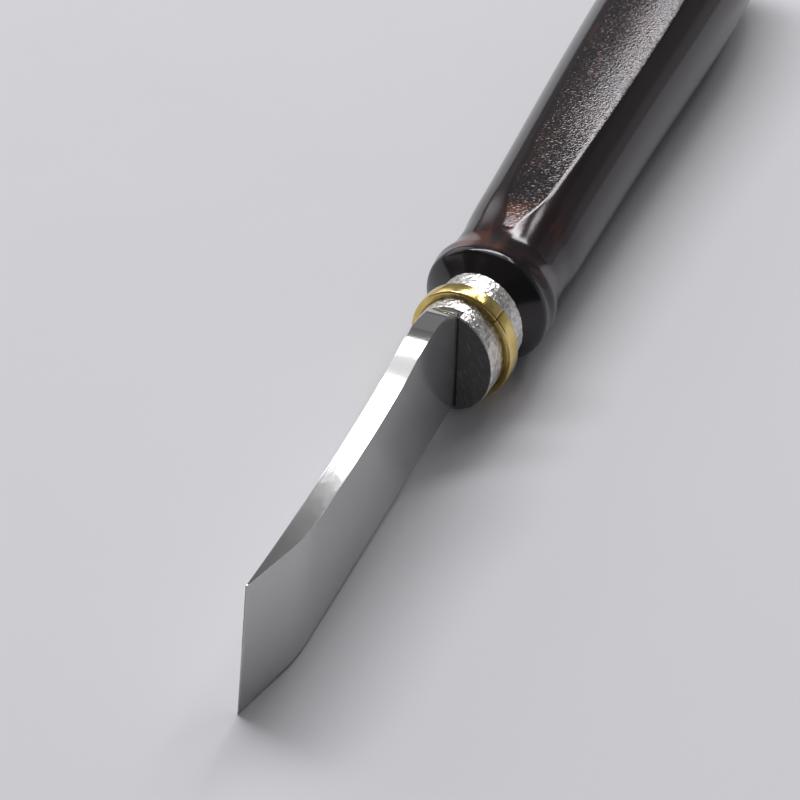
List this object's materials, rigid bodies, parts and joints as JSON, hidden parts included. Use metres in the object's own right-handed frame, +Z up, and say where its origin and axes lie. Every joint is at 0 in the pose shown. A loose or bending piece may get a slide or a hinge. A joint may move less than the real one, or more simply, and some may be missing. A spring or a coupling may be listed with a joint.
{
  "type": "leather knife",
  "caption": "Bench knife for cutting and skiving leather: skew-edged steel blade with a one-sided bevel in a turned dark wood handle, with hammered ferrule and brass ring.",
  "frame": {"origin": "middle of the knife's box in X and Y, on the surface that the level rear part of the handle's lower flat lies on", "axes": "+X along the handle towards the tip of the blade, +Y the side of the bevelled face, +Z up, towards the spine"},
  "size_m": [0.1846, 0.0218, 0.02],
  "materials": {
    "blade_steel": "ground and polished steel, nearly a mirror, with a lengthwise grind on the spine",
    "lacquered_wood": "very dark red-brown hardwood under a glossy lacquer with a fine orange-peel skin",
    "hammered_silver": "silver-coloured sleeve with a bark-like hammered skin",
    "polished_brass": "polished brass with a darker soldered seam",
    "black_resin": "black resin, slightly uneven"
  },
  "bodies": {
    "root": {"blade": "blade_steel", "handle": "lacquered_wood", "ferrule": "hammered_silver", "brass_ring": "polished_brass", "tang_bedding": "black_resin"}
  },
  "joints": []
}
